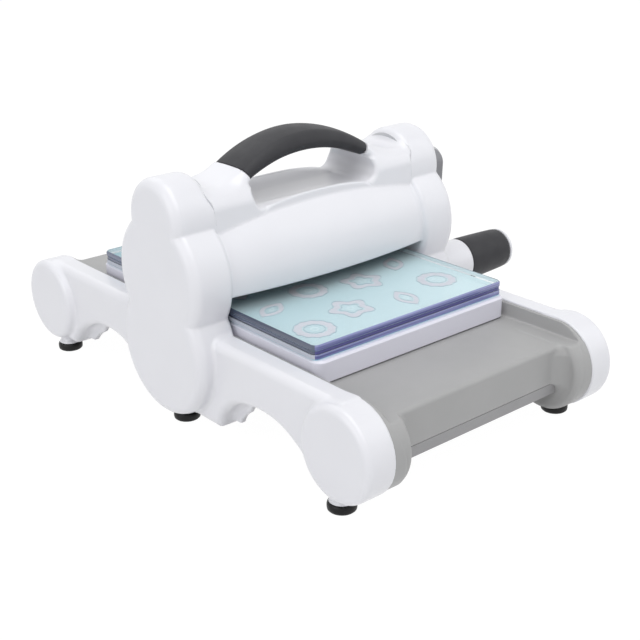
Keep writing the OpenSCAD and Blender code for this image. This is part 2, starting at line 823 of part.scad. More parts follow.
module crank_pinion()
  color(steel) machine()
    gear(pinion_teeth, crank_z, -90 + 180 / pinion_teeth, crank_shaft_r + fit_play);

module arm_plan()
  belt([
    [-hub_r + hub_corner_r, crank_z, hub_corner_r],
    [grip_y, grip_z, arm_end_r],
    [hub_r - hub_corner_r, crank_z, hub_corner_r]
  ]);

module crank_arm()
  color(grey) machine() difference() {
    along_x(crank_x, crank_x + crank_t) arm_plan();
    rod(crank_shaft_r + fit_play, crank_x - 1, crank_x + crank_t + 1, z = crank_z);
    rod(pin_r + fit_play, crank_x - 1, crank_x + crank_t + 1, grip_y, grip_z);
  }

module crank_shaft_nut()
  color(steel) machine() difference() {
    puck(crank_shaft_r + shaft_nut_wall, crank_x + crank_t, crank_x + crank_t + shaft_nut_t, shaft_nut_edge,
         z = crank_z);
    rod(crank_shaft_r + fit_play, crank_x, crank_x + crank_t + shaft_nut_t - 0.4, z = crank_z);
  }

module grip_pin()
  color(steel) machine() {
    rod(pin_head_r, crank_x - pin_head_t, crank_x, grip_y, grip_z);
    rod(pin_r, crank_x - 1, cap_x - cap_pocket + 2, grip_y, grip_z);
  }

module grip_pin_washer()
  color(steel) machine() difference() {
    rod(pin_head_r, cap_x - cap_pocket, cap_x - cap_pocket + washer_t, grip_y, grip_z);
    rod(pin_r + fit_play, cap_x - cap_pocket - 1, cap_x, grip_y, grip_z);
  }

// neck with the core that runs on inside the sleeve
module grip_neck()
  color(white) machine() translate([neck_x, grip_y, grip_z]) rotate([0, 90, 0]) difference() {
    rotate_extrude() polygon([
      [0, 0], [grip_core_r - 1, 0], [grip_core_r, 1], [grip_core_r + 1, neck_l / 4],
      [neck_r - 1, neck_l * 0.7], [neck_r, neck_l * 0.85], [neck_r, neck_l], [grip_core_r, neck_l],
      [grip_core_r, neck_l + sleeve_l], [0, neck_l + sleeve_l]
    ]);
    translate([0, 0, -1]) cylinder(r = pin_r + fit_play, h = neck_l + sleeve_l);
    translate([0, 0, neck_l + sleeve_l - cap_pocket - play])
      cylinder(r = pin_head_r + 0.5, h = cap_pocket + 1);
  }

module grip_sleeve()
  color(dark) machine() translate([sleeve_x, grip_y, grip_z]) rotate([0, 90, 0]) difference() {
    cylinder(r1 = neck_r, r2 = sleeve_r, h = sleeve_l);
    translate([0, 0, -1]) cylinder(r = grip_core_r + seat_play, h = sleeve_l + 2);
  }

module grip_end_cap()
  color(white) machine() puck(sleeve_r - 0.6, cap_x, reach_x, cap_t / 2, grip_y, grip_z);

// ---- sliding stack ----

module slab(w, l, z, t, r)
  machine() translate([0, 0, z]) linear_extrude(t) rounded([w, l], r);

module platform() color(white) slab(pad_w, platform_l, platform_z, platform_t, pad_corner_r + 2);
module lower_cutting_pad() color(clear) slab(pad_w, pad_l, stack_z, pad_t, pad_corner_r);
module cutting_die()
  color(cyan) slab(pad_w - 2 * die_inset, pad_l - 2 * die_inset, stack_z + pad_t, die_t, pad_corner_r - 1);
module upper_cutting_pad() color(clear) slab(pad_w, pad_l, stack_z + pad_t + die_t, pad_t, pad_corner_r);

deck();
base_cover();
left_leg_frame();
right_leg_frame();
left_side_cover();
right_side_cover();
left_bearing_plate();
right_bearing_plate();
tie_bars();
tie_bar_nuts();
front_housing();
rear_housing();
handle_frame();
handle_grip();
upper_roller_bushes();
lower_roller_bushes();
crank_bushes();
foot_stems();
foot_pads();
foot_screws();
plate_screws();
base_screws();
housing_screws();
handle_screws();
upper_roller();
upper_roller_shaft();
upper_roller_gear();
upper_roller_clips();
lower_roller();
lower_roller_shaft();
lower_roller_gear();
lower_roller_clips();
crank_shaft();
crank_pinion();
crank_arm();
crank_shaft_nut();
grip_pin();
grip_pin_washer();
grip_neck();
grip_sleeve();
grip_end_cap();
platform();
lower_cutting_pad();
cutting_die();
upper_cutting_pad();
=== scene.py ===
import bpy
import math
import numpy as np
from mathutils import Matrix, Vector


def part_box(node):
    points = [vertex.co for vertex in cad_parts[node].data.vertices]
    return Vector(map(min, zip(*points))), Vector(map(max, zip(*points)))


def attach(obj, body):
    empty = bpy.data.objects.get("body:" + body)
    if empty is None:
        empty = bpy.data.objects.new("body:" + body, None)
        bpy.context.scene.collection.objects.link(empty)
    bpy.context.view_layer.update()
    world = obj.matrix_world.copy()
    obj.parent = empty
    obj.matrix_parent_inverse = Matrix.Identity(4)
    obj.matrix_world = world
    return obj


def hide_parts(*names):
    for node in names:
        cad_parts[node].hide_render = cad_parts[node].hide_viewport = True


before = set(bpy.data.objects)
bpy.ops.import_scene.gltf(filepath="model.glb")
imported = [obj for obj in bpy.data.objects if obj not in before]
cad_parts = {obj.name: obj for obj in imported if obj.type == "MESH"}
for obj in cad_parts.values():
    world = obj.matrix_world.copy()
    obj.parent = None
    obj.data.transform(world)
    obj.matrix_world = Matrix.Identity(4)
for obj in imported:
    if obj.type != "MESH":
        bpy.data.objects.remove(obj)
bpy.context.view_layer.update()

# Everything is drawn in millimetres from the machine's middle plane and then moved into the frame
midX = (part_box("left_side_cover")[0].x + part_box("right_side_cover")[1].x) / 2


def nodeBox(node):  # low and high corner in millimetres from the middle plane
    lo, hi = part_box(node)
    shift = Vector((midX, 0, 0))
    return (lo - shift) * 1000, (hi - shift) * 1000


def axisHeight(node):
    lo, hi = nodeBox(node)
    return (lo.z + hi.z) / 2


cover = nodeBox("right_side_cover")
legBox = nodeBox("right_leg_frame")
gripBox = nodeBox("handle_grip")
tunnelX = cover[0].x
coverX = cover[1].x
legX = legBox[0].x
legTop = legBox[1].z
legBottom = legBox[0].z
platformGap = 0.2  # the platform glides this far above the deck
deckTop = nodeBox("platform")[0].z - platformGap
rollerZ = axisHeight("upper_roller")
lowRollerZ = axisHeight("lower_roller")
crankZ = axisHeight("crank_shaft")


# rounded solids: a field is negative inside and positive outside, in millimetres

def join(a, b, r):  # union with a fillet of radius r
    u, v = np.maximum(r - a, 0), np.maximum(r - b, 0)
    return np.maximum(r, np.minimum(a, b)) - np.sqrt(u * u + v * v)


def common(a, b, r):  # intersection with a rounded edge of radius r
    u, v = np.maximum(r + a, 0), np.maximum(r + b, 0)
    return np.minimum(-r, np.maximum(a, b)) + np.sqrt(u * u + v * v)


def cut(a, b, r):  # a without b, with a rounded edge
    return common(a, -b, r)


def between(v, lo, hi):
    return np.abs(v - (lo + hi) / 2) - (hi - lo) / 2


def ease(t):  # smooth step from 0 to 1
    t = np.clip(t, 0, 1)
    return t * t * (3 - 2 * t)


def circle(u, v, cu, cv, r):
    return np.hypot(u - cu, v - cv) - r


def rectangle(u, v, u0, u1, v0, v1, r=0.0):
    a, b = between(u, u0, u1) + r, between(v, v0, v1) + r
    return np.minimum(np.maximum(a, b), 0) + np.hypot(np.maximum(a, 0), np.maximum(b, 0)) - r


def drum(x, y, z, cy, cz, r, x0, x1, outerEdge, innerEdge):
    outer = common(circle(y, z, cy, cz, r), x - x1, outerEdge)
    return common(outer, x0 - x, innerEdge)


def outlineField(points):  # distance to a closed polygon
    pts = np.array(points, float)

    def field(u, v):
        shape = np.broadcast(u, v).shape
        u, v = np.broadcast_to(u, shape), np.broadcast_to(v, shape)
        best, inside = np.full(shape, 1e9), np.zeros(shape, bool)
        for (ax, ay), (bx, by) in zip(pts, np.roll(pts, -1, axis=0)):
            ex, ey = bx - ax, by - ay
            wx, wy = u - ax, v - ay
            t = np.clip((wx * ex + wy * ey) / (ex * ex + ey * ey), 0, 1)
            best = np.minimum(best, (wx - ex * t) ** 2 + (wy - ey * t) ** 2)
            if ay != by:
                inside ^= ((ay > v) != (by > v)) & (u < ex * (v - ay) / ey + ax)
        return np.where(inside, -1, 1) * np.sqrt(best)
    return field


def smoothLine(points, steps=8):  # Catmull-Rom curve through the points
    pts = [np.array(p, float) for p in points]
    pts = [2 * pts[0] - pts[1]] + pts + [2 * pts[-1] - pts[-2]]
    line = []
    for a, b, c, d in zip(pts, pts[1:], pts[2:], pts[3:]):
        for i in range(steps):
            t = i / steps
            line.append(0.5 * (2 * b + (c - a) * t + (2 * a - 5 * b + 4 * c - d) * t ** 2
                               + (3 * b - a - 3 * c + d) * t ** 3))
    return [tuple(p) for p in line] + [tuple(pts[-2])]


def gridLines(spans):  # each span is (from, to, step)
    lines = []
    for lo, hi, step in spans:
        n = max(1, round((hi - lo) / step))
        lines += [lo + (hi - lo) * i / n for i in range(n)]
    return np.array(lines + [spans[-1][1]])


def surfaceOf(field, spansX, spansY, spansZ):  # quads on the field's zero surface
    xs, ys, zs = gridLines(spansX), gridLines(spansY), gridLines(spansZ)
    f = np.broadcast_to(field(xs[:, None, None], ys[None, :, None], zs[None, None, :]),
                        (len(xs), len(ys), len(zs)))
    axes = [xs, ys, zs]
    cells = tuple(n - 1 for n in f.shape)
    total, count = np.zeros(cells + (3,)), np.zeros(cells)  # a cell's point is the mean of its crossings
    quads = []
    crossings = []
    for a in range(3):
        lo = [slice(None)] * 3
        hi = [slice(None)] * 3
        lo[a], hi[a] = slice(0, -1), slice(1, None)
        f0, f1 = f[tuple(lo)], f[tuple(hi)]
        crossed = (f0 < 0) != (f1 < 0)
        t = np.where(crossed, f0 / np.where(crossed, f0 - f1, 1), 0)
        crossings.append((crossed, f0 < 0))
        where = [axes[k].reshape([-1 if j == k else 1 for j in range(3)]) for k in range(3)]
        along = where[a][tuple(lo)] + t * (where[a][tuple(hi)] - where[a][tuple(lo)])
        b, c = [k for k in range(3) if k != a]
        for sb in (0, 1):
            for sc in (0, 1):
                pick = [slice(None)] * 3
                pick[b] = slice(sb, f.shape[b] - 1 + sb)
                pick[c] = slice(sc, f.shape[c] - 1 + sc)
                pick = tuple(pick)
                hit = crossed[pick]
                count += hit
                total[..., a] += np.where(hit, along[pick], 0)
                for k in (b, c):
                    place = np.broadcast_to(where[k], f.shape)[tuple(lo)][pick]
                    total[..., k] += np.where(hit, place, 0)
    used = count > 0
    index = np.full(cells, -1)
    index[used] = np.arange(used.sum())
    verts = total[used] / count[used][:, None]
    for a in range(3):
        crossed, inward = crossings[a]
        b, c = (a + 1) % 3, (a + 2) % 3
        inner = [slice(None)] * 3
        inner[b] = slice(1, -1)
        inner[c] = slice(1, -1)
        inner = tuple(inner)
        at = np.argwhere(crossed[inner])
        if not len(at):
            continue
        at[:, b] += 1
        at[:, c] += 1
        flip = inward[tuple(at.T)]
        corners = []
        for db, dc in ((-1, -1), (0, -1), (0, 0), (-1, 0)):
            cell = at.copy()
            cell[:, b] += db
            cell[:, c] += dc
            corners.append(index[tuple(cell.T)])
        facing = np.stack(corners, axis=1)
        facing[~flip] = facing[~flip][:, ::-1]
        quads.append(facing)
    return verts, np.concatenate(quads)


def slopeOf(field, p, step=0.02):  # the field and its slope at each point
    base = field(*p.T)
    slope = [(field(*(p + step * np.eye(3)[k]).T) - base) / step for k in range(3)]
    return base, np.stack(slope, axis=1)


def settle(field, verts, rounds=4, reach=0.5, flattest=0.05):  # moves the points onto the zero surface
    p = verts.copy()
    for _ in range(rounds):
        base, slope = slopeOf(field, p)
        move = base[:, None] * slope / np.maximum((slope ** 2).sum(1), flattest)[:, None]
        size = np.linalg.norm(move, axis=1)[:, None]
        p -= move * np.minimum(1, reach / np.maximum(size, 1e-9))
    return p


def inFrame(p):  # millimetres from the middle plane to metres in the frame
    return np.asarray(p) * 0.001 + np.array([midX, 0, 0])


def addPiece(name, verts, faces, finish, body, node=None, smooth=True, normals=None):
    mesh = bpy.data.meshes.new(name)
    mesh.from_pydata([tuple(v) for v in inFrame(verts)], [], [tuple(f) for f in faces])
    mesh.validate()
    if smooth:
        mesh.shade_smooth()
    if normals is not None and len(mesh.vertices) == len(normals):
        mesh.normals_split_custom_set_from_vertices([tuple(n) for n in normals])
    piece = bpy.data.objects.new(name, mesh)
    bpy.context.scene.collection.objects.link(piece)
    for f in finish if isinstance(finish, (list, tuple)) else [finish]:
        mesh.materials.append(f)
    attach(piece, body)
    if node:
        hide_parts(*([node] if isinstance(node, str) else node))
    return piece


def moulded(name, field, spans, finish, body, node, mirrored=False):
    verts, faces = surfaceOf(field, *spans)
    verts = settle(field, verts)
    normals = slopeOf(field, verts)[1]
    normals /= np.maximum(np.linalg.norm(normals, axis=1), 1e-9)[:, None]
    if mirrored:
        verts, normals = verts * [-1, 1, 1], normals * [-1, 1, 1]
        faces = faces[:, ::-1]
    piece = addPiece(name, verts, faces, finish, body, node, normals=normals)
    print("made", name, len(verts), "points")
    return piece


def ringFaces(base, rings, n):  # quads between neighbouring rings of n points
    faces = []
    for k in range(rings - 1):
        low, high = base + k * n, base + (k + 1) * n
        for i in range(n):
            j = (i + 1) % n
            faces.append((low + i, low + j, high + j, high + i))
    return faces


def closedRings(base, rings, n):  # the same with a flat cap at each end
    last = base + (rings - 1) * n
    return ringFaces(base, rings, n) + [tuple(range(base, base + n))[::-1], tuple(range(last, last + n))]


def lathed(name, profile, places, axis, finish, body, node, turns=96, sharp=40):
    points = []  # the profile lists places along the axis and radii
    for h, r in profile:
        for i in range(turns):
            a = 2 * math.pi * i / turns
            u, v = r * math.cos(a), r * math.sin(a)
            points.append((h, u, v) if axis == "x" else (u, v, h))
    verts, faces = [], []
    for place in places:
        faces += closedRings(len(verts), len(profile), turns)
        verts += list(np.array(points) + np.array(place))
    piece = addPiece(name, verts, faces, finish, body, node)
    piece.data.set_sharp_from_angle(angle=math.radians(sharp))
    return piece


# finishes

def newFinish(name, colour, roughness):
    material = bpy.data.materials.new(name)
    material.use_nodes = True
    nodes = material.node_tree.nodes
    shader = nodes["Principled BSDF"]
    shader.inputs["Base Color"].default_value = (*colour, 1)
    shader.inputs["Roughness"].default_value = roughness
    return material, nodes, material.node_tree.links, shader


def addNode(nodes, kind, **values):  # a new node with its plain sockets set
    node = nodes.new("ShaderNode" + kind)
    for socket, value in values.items():
        node.inputs[socket].default_value = value
    return node


def addRamp(nodes, low, high, stops=(0, 1)):  # runs from the low colour to the high one
    ramp = nodes.new("ShaderNodeValToRGB")
    for element, place, colour in zip(ramp.color_ramp.elements, stops, (low, high)):
        element.position = place
        element.color = (*colour, 1)
    return ramp


def addMapping(nodes, links, where, **values):  # moves, turns and stretches the pattern
    mapping = addNode(nodes, "Mapping", **values)
    links.new(where.outputs["Object"], mapping.inputs["Vector"])
    return mapping


def grain(nodes, links, shader, scale, strength, distance=0.0001):  # fine bumps
    where = addNode(nodes, "TexCoord")
    noise = addNode(nodes, "TexNoise", Scale=scale, Detail=3)
    bump = addNode(nodes, "Bump", Strength=strength, Distance=distance)
    links.new(where.outputs["Object"], noise.inputs["Vector"])
    links.new(noise.outputs["Fac"], bump.inputs["Height"])
    links.new(bump.outputs["Normal"], shader.inputs["Normal"])
    return where


def mottle(nodes, links, where, socket, scale, low, high):  # slow change of a value or colour
    noise = addNode(nodes, "TexNoise", Scale=scale, Detail=4)
    ramp = addRamp(nodes, low, high, (0.35, 0.65))
    links.new(where.outputs["Object"], noise.inputs["Vector"])
    links.new(noise.outputs["Fac"], ramp.inputs["Fac"])
    links.new(ramp.outputs["Color"], socket)


def darker(colour, share):
    return [c * share for c in colour]


def grey(v):
    return (v, v, v)


plasticKinds = {
    "glossy": {"grain": 900, "tintScale": 25, "tint": 0.985, "glossScale": 60, "glossSpread": 0.1,
               "sockets": {"Coat Weight": 0.25, "Coat Roughness": 0.12}},
    "satin": {"grain": 1400, "tintScale": 40, "tint": 0.965, "glossScale": 90, "glossSpread": 0.08,
              "sockets": {}},
    "soft": {"grain": 1800, "tintScale": 70, "tint": 0.9, "glossScale": 120, "glossSpread": 0.07,
             "sockets": {"Specular IOR Level": 0.3}},
}


def plastic(name, kind, colour, gloss, bumps):
    k = plasticKinds[kind]
    material, nodes, links, shader = newFinish(name, colour, gloss)
    for socket, value in k["sockets"].items():
        shader.inputs[socket].default_value = value
    where = grain(nodes, links, shader, k["grain"], bumps)
    tint, roughness = shader.inputs["Base Color"], shader.inputs["Roughness"]
    smooth, rough = grey(gloss * (1 - k["glossSpread"])), grey(gloss * (1 + k["glossSpread"]))
    mottle(nodes, links, where, tint, k["tintScale"], darker(colour, k["tint"]), colour)
    mottle(nodes, links, where, roughness, k["glossScale"], smooth, rough)
    return material


metalLines = {"stretch": (40, 1, 1), "scale": 120, "smooth": 0.75, "rough": 1.3, "bumps": 0.15,
              "depth": 0.00005, "tintScale": 60, "tint": 0.92}


def turnedMetal(name, colour, gloss):  # fine lines round the turned axis
    m = metalLines
    material, nodes, links, shader = newFinish(name, colour, gloss)
    shader.inputs["Metallic"].default_value = 1
    where = addNode(nodes, "TexCoord")
    stretch = addMapping(nodes, links, where, Scale=m["stretch"])
    noise = addNode(nodes, "TexNoise", Scale=m["scale"])
    ramp = addRamp(nodes, grey(gloss * m["smooth"]), grey(gloss * m["rough"]))
    bump = addNode(nodes, "Bump", Strength=m["bumps"], Distance=m["depth"])
    links.new(stretch.outputs["Vector"], noise.inputs["Vector"])
    links.new(noise.outputs["Fac"], ramp.inputs["Fac"])
    links.new(ramp.outputs["Color"], shader.inputs["Roughness"])
    links.new(noise.outputs["Fac"], bump.inputs["Height"])
    links.new(bump.outputs["Normal"], shader.inputs["Normal"])
    mottle(nodes, links, where, shader.inputs["Base Color"], m["tintScale"], darker(colour, m["tint"]),
           colour)
    return material


plastics = {  # kind, colour, roughness and depth of the grain
    "whiteMoulding": ("glossy", (0.80, 0.798, 0.83), 0.32, 0.05),
    "platformMoulding": ("glossy", (0.77, 0.76, 0.84), 0.4, 0.05),
    "deckMoulding": ("satin", (0.385, 0.383, 0.380), 0.42, 0.25),
    "baseMoulding": ("satin", (0.335, 0.33, 0.335), 0.5, 0.25),
    "crankMoulding": ("satin", (0.235, 0.235, 0.25), 0.4, 0.25),
    "padCyanLine": ("satin", (0.40, 0.80, 0.90), 0.2, 0.05),
    "padPaleSide": ("satin", (0.50, 0.53, 0.60), 0.2, 0.05),
    # painted light: the clear pad sides are pale like the lit pad top seen through them
    "padSidePaintedLight": ("satin", (0.86, 0.96, 0.98), 0.2, 0.05),
    # painted shade: the die's sides are dark so the gap between the pads reads as a shaded line
    "dieGapPaintedShade": ("satin", (0.09, 0.09, 0.27), 0.35, 0.05),
    "motifLine": ("satin", (0.30, 0.42, 0.50), 0.35, 0.1),
    "motifFoam": ("satin", (0.70, 0.64, 0.71), 0.7, 0.5),
    "motifPale": ("satin", (0.72, 0.88, 0.90), 0.5, 0.2),
    "gripRubber": ("soft", (0.030, 0.030, 0.034), 0.52, 0.3),
    "footRubber": ("soft", (0.003, 0.003, 0.0035), 0.45, 0.3),
}
finishes = {name: plastic(name, *values) for name, values in plastics.items()}
finishes["steel"] = turnedMetal("steel", (0.58, 0.59, 0.61), 0.28)
finishes["bronze"] = turnedMetal("bronze", (0.62, 0.43, 0.20), 0.35)
print("finishes ready")


# side mouldings: lobed cover and long leg in one soft white shell

side = {"topR": 26, "topZ": 133, "midR": 41.5, "lowR": 43, "lowZ": 52, "outerEdge": 7, "innerEdge": 4,
        "topInnerEdge": 1.0, "topSoftness": 5.5, "softFrom": 138, "softOver": 12,  # softer towards the top
        "crease": 0.9, "creaseOut": 1.8, "creaseFade": 4, "faceOut": 1.8, "wall": 3.0, "wallEdge": 0.6,
        "skin": 0.1, "under": 0.12, "lap": 0.05,  # the housing and the handle run under the lobes' skin
        "armX": legX + 14.8, "armEdge": 5.5, "armJoin": 2.5, "archEdge": 1.5, "flatEdge": 1.0,
        "endR": 28.5, "endY": 153, "endZ": 38.5, "endEdge": 4.5, "endJoin": 2.2,
        "ribX": legX + 4, "ribDepth": 7, "ribEdge": 1.2, "ribJoin": 3.5, "ribFrom": 24, "ribTo": 36,
        "ribOver": 6, "ribBottom": legBottom + 3.5,
        "roomX": legX - 3.7, "roomSkin": 0.3, "roomEdge": 0.5,
        "gearRoomR": 29.6, "gearRoomX": legX + 10.6, "gearRoomOver": 1,
        "hubRoomR": 15, "hubRoomX": 70, "hubRoomEnd": legX + 12}
archLine = [(38, -8), (40.5, 4), (43.5, 13), (46.5, 20), (51, 25.6), (57, 30.2), (66, 34.2), (78, 36),
            (90, 35.8), (100, 34), (110.6, 29.6), (121, 22.6), (129.5, 12), (132.3, 4), (133.5, -8)]
archField = outlineField(smoothLine(archLine))


def lobesField(x, y, z, inset, x0, x1, outerEdge):  # three rounded drums that meet in crisp creases
    s = side
    crease = s["crease"] * ease((x1 - s["creaseOut"] - x) / s["creaseFade"])
    softness = s["topSoftness"] * ease((z - s["softFrom"]) / s["softOver"])
    body = drum(x, y, z, 0, rollerZ, s["midR"] - inset, x0, x1, outerEdge, s["innerEdge"])
    top = drum(x, y, z, 0, s["topZ"], s["topR"] - inset, x0, x1, outerEdge, s["topInnerEdge"] + softness)
    low = drum(x, y, z, 0, s["lowZ"], s["lowR"] - inset, x0, x1, outerEdge, s["innerEdge"] + softness)
    return join(join(body, top, crease), low, crease)


def lobesUnderSkin(ax, y, z):  # what the housing and the handle meet, a little below the lobes' surface
    s = side
    return lobesField(ax, y, z, s["under"], tunnelX - s["skin"] + s["lap"], coverX, s["outerEdge"])


def armField(x, y, z):
    s = side
    bar = rectangle(y, z, -s["endY"], s["endY"], legBottom, legTop)
    arch = archField(np.abs(y), z)
    narrow = s["ribDepth"] * np.clip((s["ribTo"] - z) / (s["ribTo"] - s["ribFrom"]), -1, 1)
    arm = common(common(bar, -arch, s["archEdge"]), x - s["armX"], s["armEdge"])
    arm = common(arm, legX - x, s["flatEdge"])
    rib = common(common(bar, -arch - narrow, s["archEdge"]), x - s["ribX"], s["ribEdge"])
    rib = common(rib, legX - x, s["flatEdge"])
    rib = np.maximum(rib, between(z, s["ribBottom"], s["ribTo"] + s["ribOver"]))
    return np.maximum(join(arm, rib, s["ribJoin"]), legX - x)


def sideField(x, y, z):
    s = side
    ends = drum(x, np.abs(y), z, s["endY"], s["endZ"], s["endR"], legX, legBox[1].x, s["endEdge"],
                s["flatEdge"])
    leg = join(armField(x, y, z), ends, s["endJoin"])
    shell = lobesField(x, y, z, 0, tunnelX - s["skin"], coverX + s["faceOut"], s["outerEdge"])
    room = lobesField(x, y, z, s["wall"], s["roomX"], coverX - s["wall"], s["outerEdge"] - s["wall"])
    room = np.maximum(room, legX + s["roomSkin"] - x)
    room = cut(room, rectangle(x, z, 0, s["armX"], 0, legTop), s["roomEdge"])
    gearRoom = common(circle(y, z, 0, lowRollerZ, s["gearRoomR"]),
                      between(x, s["gearRoomX"], s["armX"] + s["gearRoomOver"]), s["roomEdge"])
    hubRoom = common(circle(y, z, 0, lowRollerZ, s["hubRoomR"]),
                     between(x, s["hubRoomX"], s["hubRoomEnd"]), s["roomEdge"])
    room = np.minimum(np.minimum(room, gearRoom), hubRoom)
    whole = np.maximum(join(leg, shell, s["armJoin"]), legBottom - z)
    return cut(whole, room, s["wallEdge"])


sideSpans = [  # from, to and step along x, y and z
    [(78.0, 110.0, 1.0)],
    [(-184, -112, 1.4), (-112, -52, 1.6), (-52, 52, 1.15), (52, 112, 1.6), (112, 184, 1.4)],
    [(8, 162, 1.15)],
]
for hand in ("right", "left"):
    moulded(hand + "_side_moulding", sideField, sideSpans, finishes["whiteMoulding"], "root",
            [hand + "_side_cover", hand + "_leg_frame"], mirrored=hand == "left")


# housing over the upper roller

housingBox = nodeBox("front_housing")
visor = {"midR": -housingBox[0].y, "bulge": 6, "wall": 3, "wallEdge": 0.5, "bottomZ": housingBox[0].z,
         "edge": 1.2, "endFillet": 2.0, "runIn": 0.5, "halfX": housingBox[1].x, "saddleY": -housingBox[1].y}
bulgeR = (visor["halfX"] ** 2 + visor["bulge"] ** 2) / (2 * visor["bulge"])


def barrel(x, y, z, inset=0.0):  # housing's barrel shape, fullest at the middle
    return np.hypot(x, np.hypot(y, z - rollerZ) - visor["midR"] + bulgeR) - bulgeR + inset


def visorField(x, y, z):
    v = visor
    ax = np.abs(x)
    shell = cut(barrel(x, y, z), barrel(x, y, z, v["wall"]), v["wallEdge"])
    shell = common(shell, v["bottomZ"] - z, v["edge"])
    shell = np.maximum(join(shell, lobesUnderSkin(ax, y, z), v["endFillet"]), ax - tunnelX - v["runIn"])
    shell = np.maximum(shell, v["bottomZ"] - z)
    return np.maximum(shell, y + v["saddleY"])


visorSpans = [[(-83, -70, 1.0), (-70, 70, 4.0), (70, 83, 1.0)], [(-46, -24, 0.9)], [(86, 136, 0.9)]]
moulded("front_visor", visorField, visorSpans, finishes["whiteMoulding"], "root", "front_housing")
moulded("rear_visor", lambda x, y, z: visorField(x, -y, z),
        [visorSpans[0], [(24, 46, 0.9)], visorSpans[2]], finishes["whiteMoulding"], "root", "rear_housing")


# handle: posts, tray and soft grip

handle = {"archR": 98.8, "topZ": gripBox[1].z, "midT": 14.8, "endT": 9.2, "endLow": 5.9, "halfD": 17.5,
          "angle": 30.4, "flare": 8.3, "flareFrom": 138.5, "flareTo": 156,
          "postAngle": 24, "postRise": 4.9, "postTop": [(90, 149.4), (79, 149.6), (70, 150.1), (61, 152.8)],
          "postFoot": [(20, 140), (20, 100), (90, 100)], "bottomZ": 121, "rollerRoomR": 35,
          "gapX": 41.7, "gapEndR": 8, "gapEdge": 0.8,
          "rimZ": 138.2, "rimDrop": 3.5, "rimOver": 6, "rimCorner": 0.1,
          "wallY": 22.9, "wallZ": 137.4, "floorY": 12.5, "floorZ": 133.6, "trayX": 1.5, "floorEdge": 1.5,
          "wallEdge": 0.4, "trayEndEdge": 2.5, "trayEdge": 1.2,
          "rimEdge": 1.2, "cheekEdge": 3.5, "endEdge": 4.3, "postEdge": 6, "edgeFade": 8,
          "cheekX": 36, "postX": 52, "endZ": 146, "endFade": 6,
          "crown": 3.0, "crownLoss": 0.4, "crownHalf": 50, "crownEnd": 76, "crownRunOut": 20, "crownZ": 143,
          "crownFade": 6, "fold": 1.2, "foldOver": 0.6, "lipY": 24, "lipSkin": 0.05, "saddleSkin": 0.7,
          "endFillet": 0.2, "shoulderFillet": 4.8, "runIn": 1.0, "shoulderRunIn": 2.5, "shoulderZ": 141,
          "shoulderFade": 8}
grip = {"inset": 0.7, "edge": 6.4, "edgeX": 20, "edgeFade": 32, "ridge": 0.01,
        "collar": 1.5, "collarZ": 144, "gap": 0.15, "endEdge": 0.5}
archZ = handle["topZ"] - handle["midT"] / 2 - handle["archR"]
rimR = (handle["gapX"] ** 2 + handle["rimDrop"] ** 2) / (2 * handle["rimDrop"])
farInside = -50


def onArch(r, degrees):
    a = math.radians(degrees)
    return r * math.sin(a), archZ + r * math.cos(a)


def crescent(top, endOffset):  # radius of a handle curve through its middle height and both ends
    endX, endZ = onArch(handle["archR"] + endOffset, handle["angle"])
    sag = top - endZ
    return (endX ** 2 + sag ** 2) / (2 * sag)


upperTop = handle["topZ"]
lowerTop = handle["topZ"] - handle["midT"]
upperR = crescent(upperTop, handle["endT"] / 2)
lowerR = crescent(lowerTop, -handle["endLow"])


def crownOf(x, y):  # the top falls away towards the front and rear
    h = handle
    fade = 1 - h["crownLoss"] * np.minimum(np.abs(x) / h["crownHalf"], 1) ** 2
    ends = np.clip((h["crownEnd"] - np.abs(x)) / h["crownRunOut"], 0, 1)
    return h["crown"] * (y / h["halfD"]) ** 2 * fade * ends


postOuter = [onArch(handle["archR"] + handle["endT"] / 2, handle["angle"]),
             onArch(handle["archR"] + handle["postRise"], handle["postAngle"])]
postInner = [onArch(handle["archR"] - handle["endLow"], handle["postAngle"]),
             onArch(handle["archR"] - handle["endLow"], handle["angle"])]
postField = outlineField(smoothLine(handle["postTop"] + postOuter, 6) + postInner + handle["postFoot"])


def gripEnd(x, z):  # positive beyond the grip's end, towards the posts
    a = math.radians(handle["angle"])
    return np.abs(x) * math.cos(a) - (z - archZ) * math.sin(a)


def aboveRim(ax, z):  # positive above the rim's arched top edge
    return np.hypot(ax, z - (handle["rimZ"] - rimR)) - rimR


def tray(x, y, z):
    h = handle
    slope = math.atan2(h["wallZ"] - h["floorZ"], h["wallY"] - h["floorY"])
    dish = (h["floorZ"] - z) * math.cos(slope) + (np.abs(y) - h["floorY"]) * math.sin(slope)
    dish = common(dish, h["floorZ"] - z, h["floorEdge"])
    dish = common(dish, np.abs(y) - h["wallY"], h["wallEdge"])
    return common(dish, np.abs(x) - h["gapX"] - h["trayX"], h["trayEndEdge"])


def handleEdge(ax, z):  # edge radius, small at the rim and large at the posts
    h = handle
    cheek = ease((ax - h["cheekX"]) / h["edgeFade"])
    edge = h["rimEdge"] + (h["cheekEdge"] - h["rimEdge"]) * cheek
    edge = edge + (h["endEdge"] - h["cheekEdge"]) * ease((z - h["endZ"]) / h["endFade"]) * cheek
    return edge + (h["postEdge"] - h["endEdge"]) * ease((ax - h["postX"]) / h["edgeFade"])


